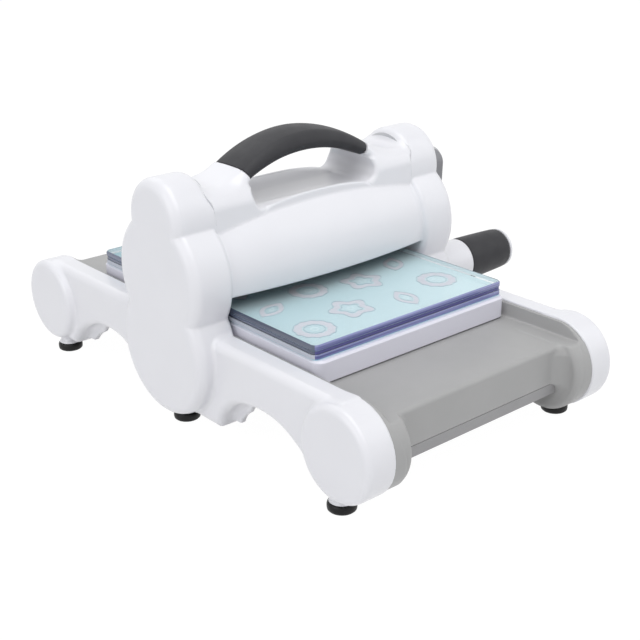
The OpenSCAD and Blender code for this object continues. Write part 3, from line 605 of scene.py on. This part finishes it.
def handleField(x, y, z):
    h = handle
    ax, ay = np.abs(x), np.abs(y)
    flare = ease((h["flareTo"] - z) / (h["flareTo"] - h["flareFrom"]))
    posts = postField(ax, z) + crownOf(x, y) * ease((z - h["crownZ"]) / h["crownFade"])
    rim = common(z - h["rimZ"], ax - h["gapX"] - h["rimOver"], h["rimCorner"])
    gap = np.minimum(np.maximum(-aboveRim(ax, z), ax - h["gapX"]),
                     circle(ax, z, h["gapX"], h["rimZ"] - h["rimDrop"] + h["gapEndR"], h["gapEndR"]))
    sideView = cut(np.minimum(posts, rim), gap, h["gapEdge"])
    body = common(ay - (h["halfD"] + h["flare"] * flare), sideView, handleEdge(ax, z))
    body = cut(body, tray(x, y, z), h["trayEdge"])
    lip = np.maximum(barrel(x, y, z, h["lipSkin"]), h["lipY"] - ay)
    baseY = h["halfD"] + h["flare"]
    body = np.maximum(join(body, lip, h["fold"]), ay - baseY - h["fold"] - h["foldOver"])
    saddle = -np.maximum(barrel(x, y, z, h["saddleSkin"]), visor["saddleY"] - ay)
    limits = np.maximum(saddle, h["bottomZ"] - z)
    body = np.maximum(np.maximum(body, limits), -circle(y, z, 0, rollerZ, h["rollerRoomR"]))
    underGrip = grip["gap"] - grip["collar"] - gripEnd(x, z)
    body = np.maximum(body, np.where(z > grip["collarZ"], underGrip, farInside))
    shoulder = ease((z - h["shoulderZ"]) / h["shoulderFade"])
    body = join(body, lobesUnderSkin(ax, y, z), h["endFillet"] + h["shoulderFillet"] * shoulder)
    return np.maximum(np.maximum(body, limits), ax - tunnelX - (h["runIn"] + h["shoulderRunIn"] * shoulder))


def gripField(x, y, z):
    g = grip
    ax = np.abs(x)
    upper = np.hypot(x, z - upperTop + upperR) - upperR + crownOf(x, y)
    lower = lowerR - np.hypot(x, z - lowerTop + lowerR)
    edge = g["edge"] - (g["edge"] - handle["endEdge"]) * np.clip((ax - g["edgeX"]) / g["edgeFade"], 0, 1)
    body = common(upper, lower, g["ridge"]) + g["inset"]
    body = common(body, np.abs(y) - handle["halfD"] + g["inset"], edge)
    return common(body, gripEnd(x, z) + g["collar"] + g["gap"], g["endEdge"])


moulded("handle_posts_and_tray", handleField,
        [[(-86, -34, 0.9), (-34, 34, 2.0), (34, 86, 0.9)], [(-30, 30, 0.8)], [(119, 176, 0.8)]],
        finishes["whiteMoulding"], "root", "handle_frame")
moulded("soft_handle_grip", gripField, [[(-56, 56, 1.2)], [(-19, 19, 0.9)], [(146, 176, 0.8)]],
        finishes["gripRubber"], "root", "handle_grip")


# deck

deckShape = {"lipY": 166.4, "lipR": 3, "plateT": 3.4, "topEdge": 1.0, "seamZ": 33.4, "seamEdge": 0.3,
             "endR": 27.5, "endY": 153, "endZ": 38.5, "flangeX": 68.6, "flangeEdge": 3.2,
             "fillet": 9, "filletFade": 9, "filletLeast": 0.12,
             "railTop": legTop - 1, "railTopEdge": 0.4, "railFoot": 1.0, "railLean": 1.6, "railEdge": 0.5,
             "hollowX": 0.5, "hollowEdge": 1, "endWall": 4, "cupOver": 3, "cutEdge": 0.4,
             "slotY": 18, "slotGap": 0.3, "slotDepth": 8, "notchY": 28.1, "notchGap": 0.1,
             "bossX": 50, "bossY": 120, "bossR": 5, "bossFoot": 28, "bossSink": 1}


def deckField(x, y, z):
    d = deckShape
    ax, ay = np.abs(x), np.abs(y)
    roundEnd = circle(ay, z, d["endY"], d["endZ"], d["endR"])
    plate = common(common(z - deckTop, ay - d["lipY"], d["lipR"]), d["seamZ"] - z, d["seamEdge"])
    plate = common(plate, ax - legX, d["seamEdge"])
    flange = common(common(roundEnd, ax - legX, d["seamEdge"]), d["flangeX"] - ax, d["flangeEdge"])
    fillet = d["fillet"] * np.clip((d["lipR"] + deckTop - z) / d["filletFade"], d["filletLeast"], 1)
    body = common(join(plate, flange, fillet), z - deckTop, d["topEdge"])
    lean = tunnelX - d["railFoot"] + d["railLean"] * (z - deckTop) / (d["railTop"] - deckTop)
    rail = common(common(ay - d["endY"], z - d["railTop"], d["railTopEdge"]), d["seamZ"] - z, d["seamEdge"])
    rail = common(np.minimum(rail, roundEnd), lean - ax, d["railEdge"])
    body = join(body, common(rail, ax - legX, d["railEdge"]), d["topEdge"])
    return np.minimum(deckCuts(body, ax, ay, z), deckBosses(ax, ay, z))


def deckCuts(body, ax, ay, z):  # hollow underside, slot for the rollers and notches for the bearing plates
    d = deckShape
    edge = d["hollowEdge"]
    underside = z - (deckTop - d["plateT"])
    long = common(underside, ay - (d["lipY"] - d["plateT"]), edge)
    long = common(long, ax - (d["flangeX"] - d["hollowX"]), edge)
    wide = common(underside, ay - d["endY"] + d["endR"] - d["endWall"], edge)
    wide = common(wide, ax - (tunnelX - d["railFoot"]), edge)
    cup = common(circle(ay, z, d["endY"], d["endZ"], d["endR"] - d["plateT"]), underside, edge)
    cup = common(common(cup, d["flangeX"] + d["plateT"] - ax, edge), ax - legX - d["cupOver"], edge)
    body = cut(body, np.minimum(np.minimum(long, wide), cup), d["cutEdge"])
    slot = np.maximum(ay - d["slotY"], ax - tunnelX + d["slotGap"])
    slot = np.maximum(slot, deckTop - d["slotDepth"] - z)
    notch = np.maximum(tunnelX - d["notchGap"] - ax, ay - d["notchY"])
    return np.maximum(body, -np.minimum(slot, notch))


def deckBosses(ax, ay, z):
    d = deckShape
    return np.maximum(circle(ax, ay, d["bossX"], d["bossY"], d["bossR"]),
                      np.maximum(d["bossFoot"] - z, z - deckTop + d["bossSink"]))


deckSpans = [
    [(-84, -58, 1.0), (-58, -46, 2.0), (-46, 46, 8.0), (46, 58, 2.0), (58, 84, 1.0)],
    [(-182, -144, 1.0), (-144, -32, 5.0), (-32, 32, 2.0), (32, 144, 5.0), (144, 182, 1.0)],
    [(9, 69, 0.9)],
]
moulded("grey_deck", deckField, deckSpans, finishes["deckMoulding"], "root", "deck")


# flat plates with rounded corners: pads, die board and platform

plateSharp = 35  # degrees past which an edge shows as a crease


def roundedRing(halfX, halfY, r, steps=8):  # corner points, counter-clockwise from above
    ring = []
    for k, (cx, cy) in enumerate(((1, 1), (-1, 1), (-1, -1), (1, -1))):
        for i in range(steps + 1):
            a = math.radians(90 * k + 90 * i / steps)
            ring.append((cx * (halfX - r) + r * math.cos(a), cy * (halfY - r) + r * math.sin(a)))
    return ring


def roundedPlate(name, box, cornerR, lowBevel, topBevel, materials, node, sideFinish=None):
    lo, hi = box
    halfX, halfY = (hi.x - lo.x) / 2, (hi.y - lo.y) / 2
    levels = [(lowBevel, lo.z), (0, lo.z + lowBevel), (0, hi.z - topBevel), (topBevel, hi.z)]
    verts, kinds = [], []
    for inset, z in levels:
        ring = roundedRing(halfX - inset, halfY - inset, cornerR - inset)
        verts += [(px, py, z) for px, py in ring]
    n = len(ring)
    for level in range(len(levels) - 1):
        for i in range(n):
            edge = (Vector(verts[(i + 1) % n]) - Vector(verts[i])).normalized()
            kinds.append(sideFinish(level, edge.y, -edge.x) if sideFinish else 0)
    piece = addPiece(name, verts, closedRings(0, len(levels), n), materials, "stack", node)
    piece.data.polygons.foreach_set("material_index", kinds + [0, 0])
    piece.data.set_sharp_from_angle(angle=math.radians(plateSharp))
    return piece


acrylic = {"tint": (0.83, 0.93, 0.96), "alpha": 0.22, "ior": 1.49, "roughness": 0.06,
           "waveScale": 60, "waves": 0.03, "waveDepth": 0.0002, "tintScale": 18, "darker": 0.97,
           "edgeRoughness": 0.12, "edgeCoat": 0.6, "streaks": (6, 6, 700), "streakDetail": 3,
           "streakStops": (0.38, 0.62), "frontDark": (0.10, 0.11, 0.30), "frontPale": (0.25, 0.27, 0.52),
           "paintedShadeSideDark": (0.045, 0.06, 0.10), "paintedShadeSidePale": (0.14, 0.165, 0.25)}


def acrylicFace(name):
    a = acrylic
    material, nodes, links, shader = newFinish(name, a["tint"], a["roughness"])
    shader.inputs["Alpha"].default_value = a["alpha"]
    shader.inputs["IOR"].default_value = a["ior"]
    where = grain(nodes, links, shader, a["waveScale"], a["waves"], a["waveDepth"])
    mottle(nodes, links, where, shader.inputs["Base Color"], a["tintScale"], darker(a["tint"], a["darker"]),
           a["tint"])
    return material


def acrylicEdge(name, dark, pale):  # tinted edge with streaks along it
    a = acrylic
    material, nodes, links, shader = newFinish(name, pale, a["edgeRoughness"])
    shader.inputs["Coat Weight"].default_value = a["edgeCoat"]
    mapping = addMapping(nodes, links, addNode(nodes, "TexCoord"), Scale=a["streaks"])
    noise = addNode(nodes, "TexNoise", Scale=1, Detail=a["streakDetail"])
    ramp = addRamp(nodes, dark, pale, a["streakStops"])
    links.new(mapping.outputs["Vector"], noise.inputs["Vector"])
    links.new(noise.outputs["Fac"], ramp.inputs["Fac"])
    links.new(ramp.outputs["Color"], shader.inputs["Base Color"])
    return material


# die board colour: a pale painted reflection at the front, fading to painted shade under the housing at the
# rear
board = {"recess": 0.4, "inset": 0.5, "bevel": 0.3, "nearPaintedReflection": (0.72, 0.90, 0.93), "farPaintedShade": (0.15, 0.42, 0.49),
         "roughness": 0.35, "grain": 700, "bumps": 0.08, "turn": -127, "spread": 3.4, "middle": 0.38}


def paintedLightBoard(name):  # colour fades from a painted reflection to painted shade along one direction
    b = board
    material, nodes, links, shader = newFinish(name, b["nearPaintedReflection"], b["roughness"])
    where = grain(nodes, links, shader, b["grain"], b["bumps"])
    mapping = addMapping(nodes, links, where, Scale=(b["spread"],) * 3, Location=(b["middle"], 0, 0),
                         Rotation=(0, 0, math.radians(b["turn"])))
    fade = addNode(nodes, "TexGradient")
    ramp = addRamp(nodes, b["nearPaintedReflection"], b["farPaintedShade"])
    links.new(mapping.outputs["Vector"], fade.inputs["Vector"])
    links.new(fade.outputs["Fac"], ramp.inputs["Fac"])
    links.new(ramp.outputs["Color"], shader.inputs["Base Color"])
    return material


pads = {"cornerR": 4, "topBevel": 0.8, "innerBevel": 0.3, "lowBevel": 0.6}
platform = {"cornerR": 6, "lowBevel": 0.8, "topBevel": 1.2}
padFrontEdge = acrylicEdge("padFrontEdge", acrylic["frontDark"], acrylic["frontPale"])
# painted shade: the left edges get a darker copy of the tinted edge
padEdgePaintedShade = acrylicEdge("padEdgePaintedShade", acrylic["paintedShadeSideDark"], acrylic["paintedShadeSidePale"])
padFinishes = [acrylicFace("padFace"), padFrontEdge, padEdgePaintedShade, finishes["padCyanLine"],
               finishes["padPaleSide"], finishes["padSidePaintedLight"]]


def padSides(level, outX, outY):  # front tinted; left side and the thin line on the top bevel in painted shade; the rest painted pale as painted light
    if abs(outY) > abs(outX):
        return 1 if outY < 0 else 5
    return 2 if outX < 0 or level == 2 else 5


def lowPadSides(level, outX, outY):  # a bright line below, front and rear tinted, sides pale
    if level == 0:
        return 3
    return 1 if abs(outY) > abs(outX) else 4


def dieSides(level, outX, outY):  # left side in the pads' painted shade, the others dark violet as painted shade in the gap between the pads
    return 1 if abs(outY) > abs(outX) or outX > 0 else 2


dieLo, dieHi = nodeBox("cutting_die")
padLo, padHi = nodeBox("upper_cutting_pad")
dieTop = dieHi.z - board["recess"]
boardBox = (Vector((padLo.x + board["inset"], padLo.y + board["inset"], dieLo.z)),
            Vector((padHi.x - board["inset"], padHi.y - board["inset"], dieTop)))
roundedPlate("lower_pad", nodeBox("lower_cutting_pad"), pads["cornerR"], pads["lowBevel"],
             pads["innerBevel"], padFinishes, "lower_cutting_pad", lowPadSides)
roundedPlate("upper_pad", (padLo, padHi), pads["cornerR"], pads["innerBevel"],
             pads["topBevel"], padFinishes, "upper_cutting_pad", padSides)
roundedPlate("white_platform", nodeBox("platform"), platform["cornerR"], platform["lowBevel"],
             platform["topBevel"], [finishes["platformMoulding"]], "platform")
roundedPlate("die_board", boardBox, pads["cornerR"] - board["inset"], board["bevel"], board["bevel"],
             [paintedLightBoard("dieBoardPaintedLight"), finishes["dieGapPaintedShade"], padEdgePaintedShade], "cutting_die", dieSides)


# generic shapes on the die board

motifs = {"rows": 5, "columns": 4, "pitchX": 37, "pitchY": 40, "shift": 1 / 8, "outerR": 13, "lineW": 0.45,
          "rise": 0.25, "sink": 0.05, "foamDrop": 0.1, "leafW": 0.55, "turnStep": 25, "points": 72,
          "medallion": (12, 0.035), "flower": (5, 0.17),  # petals and depth of the wave
          "foam": (0.93, 0.58), "innerLine": 0.5, "heart": (0.2, 0.12)}


def motifRing(kind, cx, cy, r, turn):  # outline of a medallion, a flower or a leaf
    m = motifs
    c, s = math.cos(turn), math.sin(turn)
    ring = []
    for i in range(m["points"]):
        a = 2 * math.pi * i / m["points"]
        if kind == "leaf":
            u, v = r * math.cos(a), r * m["leafW"] * math.sin(a) * abs(math.sin(a))
        else:
            petals, wave = m[kind]
            wavyR = r * (1 + wave * math.cos(petals * a))
            u, v = wavyR * math.cos(a), wavyR * math.sin(a)
        ring.append((cx + u * c - v * s, cy + u * s + v * c))
    return ring


def addBand(verts, faces, kinds, outer, inner, z0, z1, kind):  # flat band between two rings, with walls
    n, base = len(outer), len(verts)
    last = base + 3 * n
    for ring, z in ((outer, z0), (outer, z1), (inner, z1), (inner, z0)):
        verts.extend((px, py, z) for px, py in ring)
    faces += ringFaces(base, 4, n)
    for i in range(n):
        j = (i + 1) % n
        faces.append((last + i, last + j, base + j, base + i))
    kinds += [kind] * (4 * n)


def addMotifs():
    m = motifs
    verts, faces, kinds = [], [], []
    z0, z1 = dieTop - m["sink"], dieTop + m["rise"]
    line = m["lineW"] / m["outerR"]
    bands = [(1, 1 - line, 0), (*m["foam"], 1), (m["innerLine"], m["innerLine"] - line, 0),
             (*m["heart"], 2)]
    for row in range(m["rows"]):
        for col in range(m["columns"]):
            cx = (col - (m["columns"] - 1) / 2) * m["pitchX"]
            shift = m["pitchY"] * m["shift"]
            cy = (row - (m["rows"] - 1) / 2) * m["pitchY"] + (shift if col % 2 else -shift)
            kind = ("medallion", "leaf", "flower")[(row + 2 * col) % 3]
            turn = math.radians(m["turnStep"] * (row - 2 * col))
            for outer, inner, colour in bands:
                addBand(verts, faces, kinds, motifRing(kind, cx, cy, m["outerR"] * outer, turn),
                        motifRing(kind, cx, cy, m["outerR"] * inner, turn), z0,
                        z1 - (m["foamDrop"] if colour else 0), colour)
    materials = [finishes["motifLine"], finishes["motifFoam"], finishes["motifPale"]]
    piece = addPiece("die_shapes", verts, faces, materials, "stack", smooth=False)
    piece.data.polygons.foreach_set("material_index", kinds)


addMotifs()
print("stack ready")


# crank

crank = {"hubHalf": 16, "hubCornerR": 9, "endR": 14.9, "bevel": 3.4, "innerBevel": 1.2, "edge": 0.5}
armLo, armHi = nodeBox("crank_arm")
sleeveLo, sleeveHi = nodeBox("grip_sleeve")
gripY, gripZ = (sleeveLo.y + sleeveHi.y) / 2, (sleeveLo.z + sleeveHi.z) / 2


def beltField(circles):  # outline of a belt round circles (y, z, r), listed counter-clockwise
    points = []
    for (ay, az, ar), (by, bz, br) in zip(circles, circles[1:] + circles[:1]):
        gap = math.hypot(by - ay, bz - az)
        outward = math.atan2(bz - az, by - ay) - math.acos((ar - br) / gap)
        points.append((ay + ar * math.cos(outward), az + ar * math.sin(outward)))
        points.append((by + br * math.cos(outward), bz + br * math.sin(outward)))
    straight = outlineField(points)

    def field(y, z):
        d = straight(y, z)
        for cy, cz, r in circles:
            d = np.minimum(d, circle(y, z, cy, cz, r))
        return d
    return field


hubY = crank["hubHalf"] - crank["hubCornerR"]
armOutline = beltField([(-hubY, crankZ, crank["hubCornerR"]), (gripY, gripZ, crank["endR"]),
                        (hubY, crankZ, crank["hubCornerR"])])


def crankField(x, y, z):
    c = crank
    outline = armOutline(y, z)
    body = common(common(outline, x - armHi.x, c["edge"]), armLo.x - x, c["edge"])
    body = common(body, (outline + x - armHi.x + c["bevel"]) * math.sqrt(0.5), c["edge"])
    return common(body, (outline + armLo.x - x + c["innerBevel"]) * math.sqrt(0.5), c["edge"])


crankSpans = [[(armLo.x - 1, armHi.x + 1, 0.7)], [(-20, 22, 0.9)],
              [(armLo.z - 1, 56, 0.9), (56, 118, 2.0), (118, armHi.z + 1.5, 0.9)]]
moulded("grey_crank_arm", crankField, crankSpans, finishes["crankMoulding"], "crank", "crank_arm")

# the grip's turned pieces: place along the axis and radius
capLo, capHi = nodeBox("grip_end_cap")
neckX = nodeBox("grip_neck")[0].x
neckEnd = sleeveLo.x
neckProfile = [(neckX, 4.3), (neckX, 9.4), (neckX + 0.6, 10.6), (neckX + 2, 11.4), (neckX + 6, 12.4),
               (neckX + 11, 13.6), (neckX + 17, 15), (neckX + 23, 15.9), (neckX + 29, 16.35),
               (neckEnd - 1.2, 16.4), (neckEnd - 0.4, 16.1), (neckEnd, 15.5), (neckEnd, 4.3)]
sleeveProfile = [(neckEnd + 0.1, 11.3), (neckEnd + 0.1, 15.8), (neckEnd + 0.6, 16.3), (neckEnd + 3, 16.4),
                 (neckEnd + 14, 16.1), (neckEnd + 28, 15.6), (sleeveHi.x - 3, 15), (sleeveHi.x - 1, 14.7),
                 (sleeveHi.x - 0.2, 14.1), (sleeveHi.x, 13.4), (sleeveHi.x, 11.3)]
capProfile = [(capLo.x, 4), (capLo.x, 13.9), (capLo.x + 0.4, 14.6), (capLo.x + 1.8, 14.6),
              (capHi.x - 0.5, 13.7), (capHi.x, 12.2), (capHi.x - 0.1, 4)]
for name, profile, finish, node in (("pale_grip_neck", neckProfile, "whiteMoulding", "grip_neck"),
                                    ("soft_crank_sleeve", sleeveProfile, "gripRubber", "grip_sleeve"),
                                    ("crank_grip_cap", capProfile, "whiteMoulding", "grip_end_cap")):
    lathed(name, profile, [(0, gripY, gripZ)], "x", finishes[finish], "crank_grip", node)
print("crank ready")


# feet

footHi = nodeBox("foot_pads")[1]
foot = {"r": 8.5, "holeR": 0.4, "topR": 6.8, "turns": 48}
footPlaces = [(sx * (footHi.x - foot["r"]), sy * (footHi.y - foot["r"]), 0)
              for sx in (-1, 1) for sy in (-1, 0, 1)]
footProfile = [(0.0, foot["holeR"]), (0.0, 6.6), (0.3, 7.6), (1.0, 8.3), (2.0, foot["r"]), (3.8, foot["r"]),
               (4.9, 8.2), (5.6, 7.6), (footHi.z, foot["topR"]), (footHi.z, foot["holeR"])]
lathed("rubber_feet", footProfile, footPlaces, "z", finishes["footRubber"], "root", "foot_pads",
       foot["turns"])
print("feet ready")


# camera, light and floor

cameraPlace = {"at": (-0.45663, -0.56185, 0.33900), "heading": 40.36, "down": 22.35, "roll": -0.69,
               "lens": 65.74, "sensor": 36, "nearest": 0.01}
lamps = {  # place from the middle plane, width and power
    "keyLamp": ((-0.3, -1.1, 1.6), 1.4, 9.5),
    "topLamp": ((0, -0.1, 2.0), 1.2, 10),
    "leftLamp": ((-1.6, -0.1, 0.8), 1.4, 7),
    "fillLamp": ((1.3, -0.9, 1.0), 1.4, 4),
    "rimLamp": ((0.2, 1.4, 1.4), 1.4, 3),
}
studio = {"aimZ": 0.08, "white": (1, 1, 1, 1), "sky": (0.95, 0.97, 1.0, 1), "skyStrength": 0.46,
          "floorHalf": 6.0, "floorZ": -0.0001, "floorGrey": (0.85, 0.85, 0.85, 1), "glow": 1.06,
          "glowShare": 0.93}


def addCamera():
    c = cameraPlace
    h, e, r = (math.radians(c[k]) for k in ("heading", "down", "roll"))
    view = Vector((math.sin(h) * math.cos(e), math.cos(h) * math.cos(e), -math.sin(e)))
    level = Vector((math.cos(h), -math.sin(h), 0))
    rise = level.cross(view)
    right = level * math.cos(r) + rise * math.sin(r)
    up = -level * math.sin(r) + rise * math.cos(r)
    data = bpy.data.cameras.new("camera")
    data.lens = c["lens"]
    data.sensor_width = c["sensor"]
    data.clip_start = c["nearest"]
    camera = bpy.data.objects.new("camera", data)
    bpy.context.scene.collection.objects.link(camera)
    turn = Matrix((right, up, -view)).transposed().to_4x4()
    camera.matrix_world = Matrix.Translation(Vector(c["at"]) + Vector((midX, 0, 0))) @ turn
    bpy.context.scene.camera = camera


def softLamp(name, place, size, power):
    dx, y, z = place
    at = (midX + dx, y, z)
    data = bpy.data.lights.new(name, "AREA")
    data.shape = "DISK"
    data.size = size
    data.energy = power
    lamp = bpy.data.objects.new(name, data)
    bpy.context.scene.collection.objects.link(lamp)
    lamp.location = at
    aim = Vector((midX, 0, studio["aimZ"])) - Vector(at)
    lamp.rotation_euler = aim.to_track_quat("-Z", "Y").to_euler()


def paleBackground(nodes, links, plain, bright):  # bright where the camera, gloss or glass looks
    rays = nodes.new("ShaderNodeLightPath")
    cameraOrGloss = nodes.new("ShaderNodeMath")
    cameraOrGloss.operation = "MAXIMUM"
    anyOfThree = nodes.new("ShaderNodeMath")
    anyOfThree.operation = "MAXIMUM"
    mix = nodes.new("ShaderNodeMixShader")
    links.new(rays.outputs["Is Camera Ray"], cameraOrGloss.inputs[0])
    links.new(rays.outputs["Is Glossy Ray"], cameraOrGloss.inputs[1])
    links.new(cameraOrGloss.outputs[0], anyOfThree.inputs[0])
    links.new(rays.outputs["Is Transmission Ray"], anyOfThree.inputs[1])
    links.new(anyOfThree.outputs[0], mix.inputs["Fac"])
    links.new(plain, mix.inputs[1])
    links.new(bright, mix.inputs[2])
    return mix


def addWorld():
    world = bpy.data.worlds.new("studio")
    bpy.context.scene.world = world
    world.use_nodes = True
    nodes, links = world.node_tree.nodes, world.node_tree.links
    nodes.clear()
    out = nodes.new("ShaderNodeOutputWorld")
    ambient = addNode(nodes, "Background", Color=studio["sky"], Strength=studio["skyStrength"])
    shown = addNode(nodes, "Background", Color=studio["white"])
    mix = paleBackground(nodes, links, ambient.outputs[0], shown.outputs[0])
    links.new(mix.outputs[0], out.inputs["Surface"])


def addFloor():
    mesh = bpy.data.meshes.new("floor")
    r = studio["floorHalf"]
    mesh.from_pydata([(-r, -r, 0), (r, -r, 0), (r, r, 0), (-r, r, 0)], [], [(0, 1, 2, 3)])
    floor = bpy.data.objects.new("floor", mesh)
    bpy.context.scene.collection.objects.link(floor)
    floor.location.z = studio["floorZ"]
    material = bpy.data.materials.new("paleFloor")
    material.use_nodes = True
    nodes, links = material.node_tree.nodes, material.node_tree.links
    nodes.clear()
    out = nodes.new("ShaderNodeOutputMaterial")
    matt = addNode(nodes, "BsdfDiffuse", Color=studio["floorGrey"])
    glow = addNode(nodes, "Emission", Color=studio["white"], Strength=studio["glow"])
    both = addNode(nodes, "MixShader", Fac=studio["glowShare"])
    links.new(matt.outputs[0], both.inputs[1])
    links.new(glow.outputs[0], both.inputs[2])
    mix = paleBackground(nodes, links, matt.outputs[0], both.outputs[0])
    links.new(mix.outputs[0], out.inputs["Surface"])
    mesh.materials.append(material)


addCamera()
addWorld()
addFloor()
for name, values in lamps.items():
    softLamp(name, *values)
bpy.context.scene.view_settings.view_transform = "Standard"
print("studio ready")

# every carried-over metal or plastic piece gets its finish
carried = {"base_cover": "baseMoulding", "foot_stems": "whiteMoulding"}
for node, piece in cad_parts.items():
    if piece.hide_render:
        continue
    metal = "bronze" if "bushes" in node or "gear" in node else "steel"
    piece.data.materials.clear()
    piece.data.materials.append(finishes[carried.get(node, metal)])
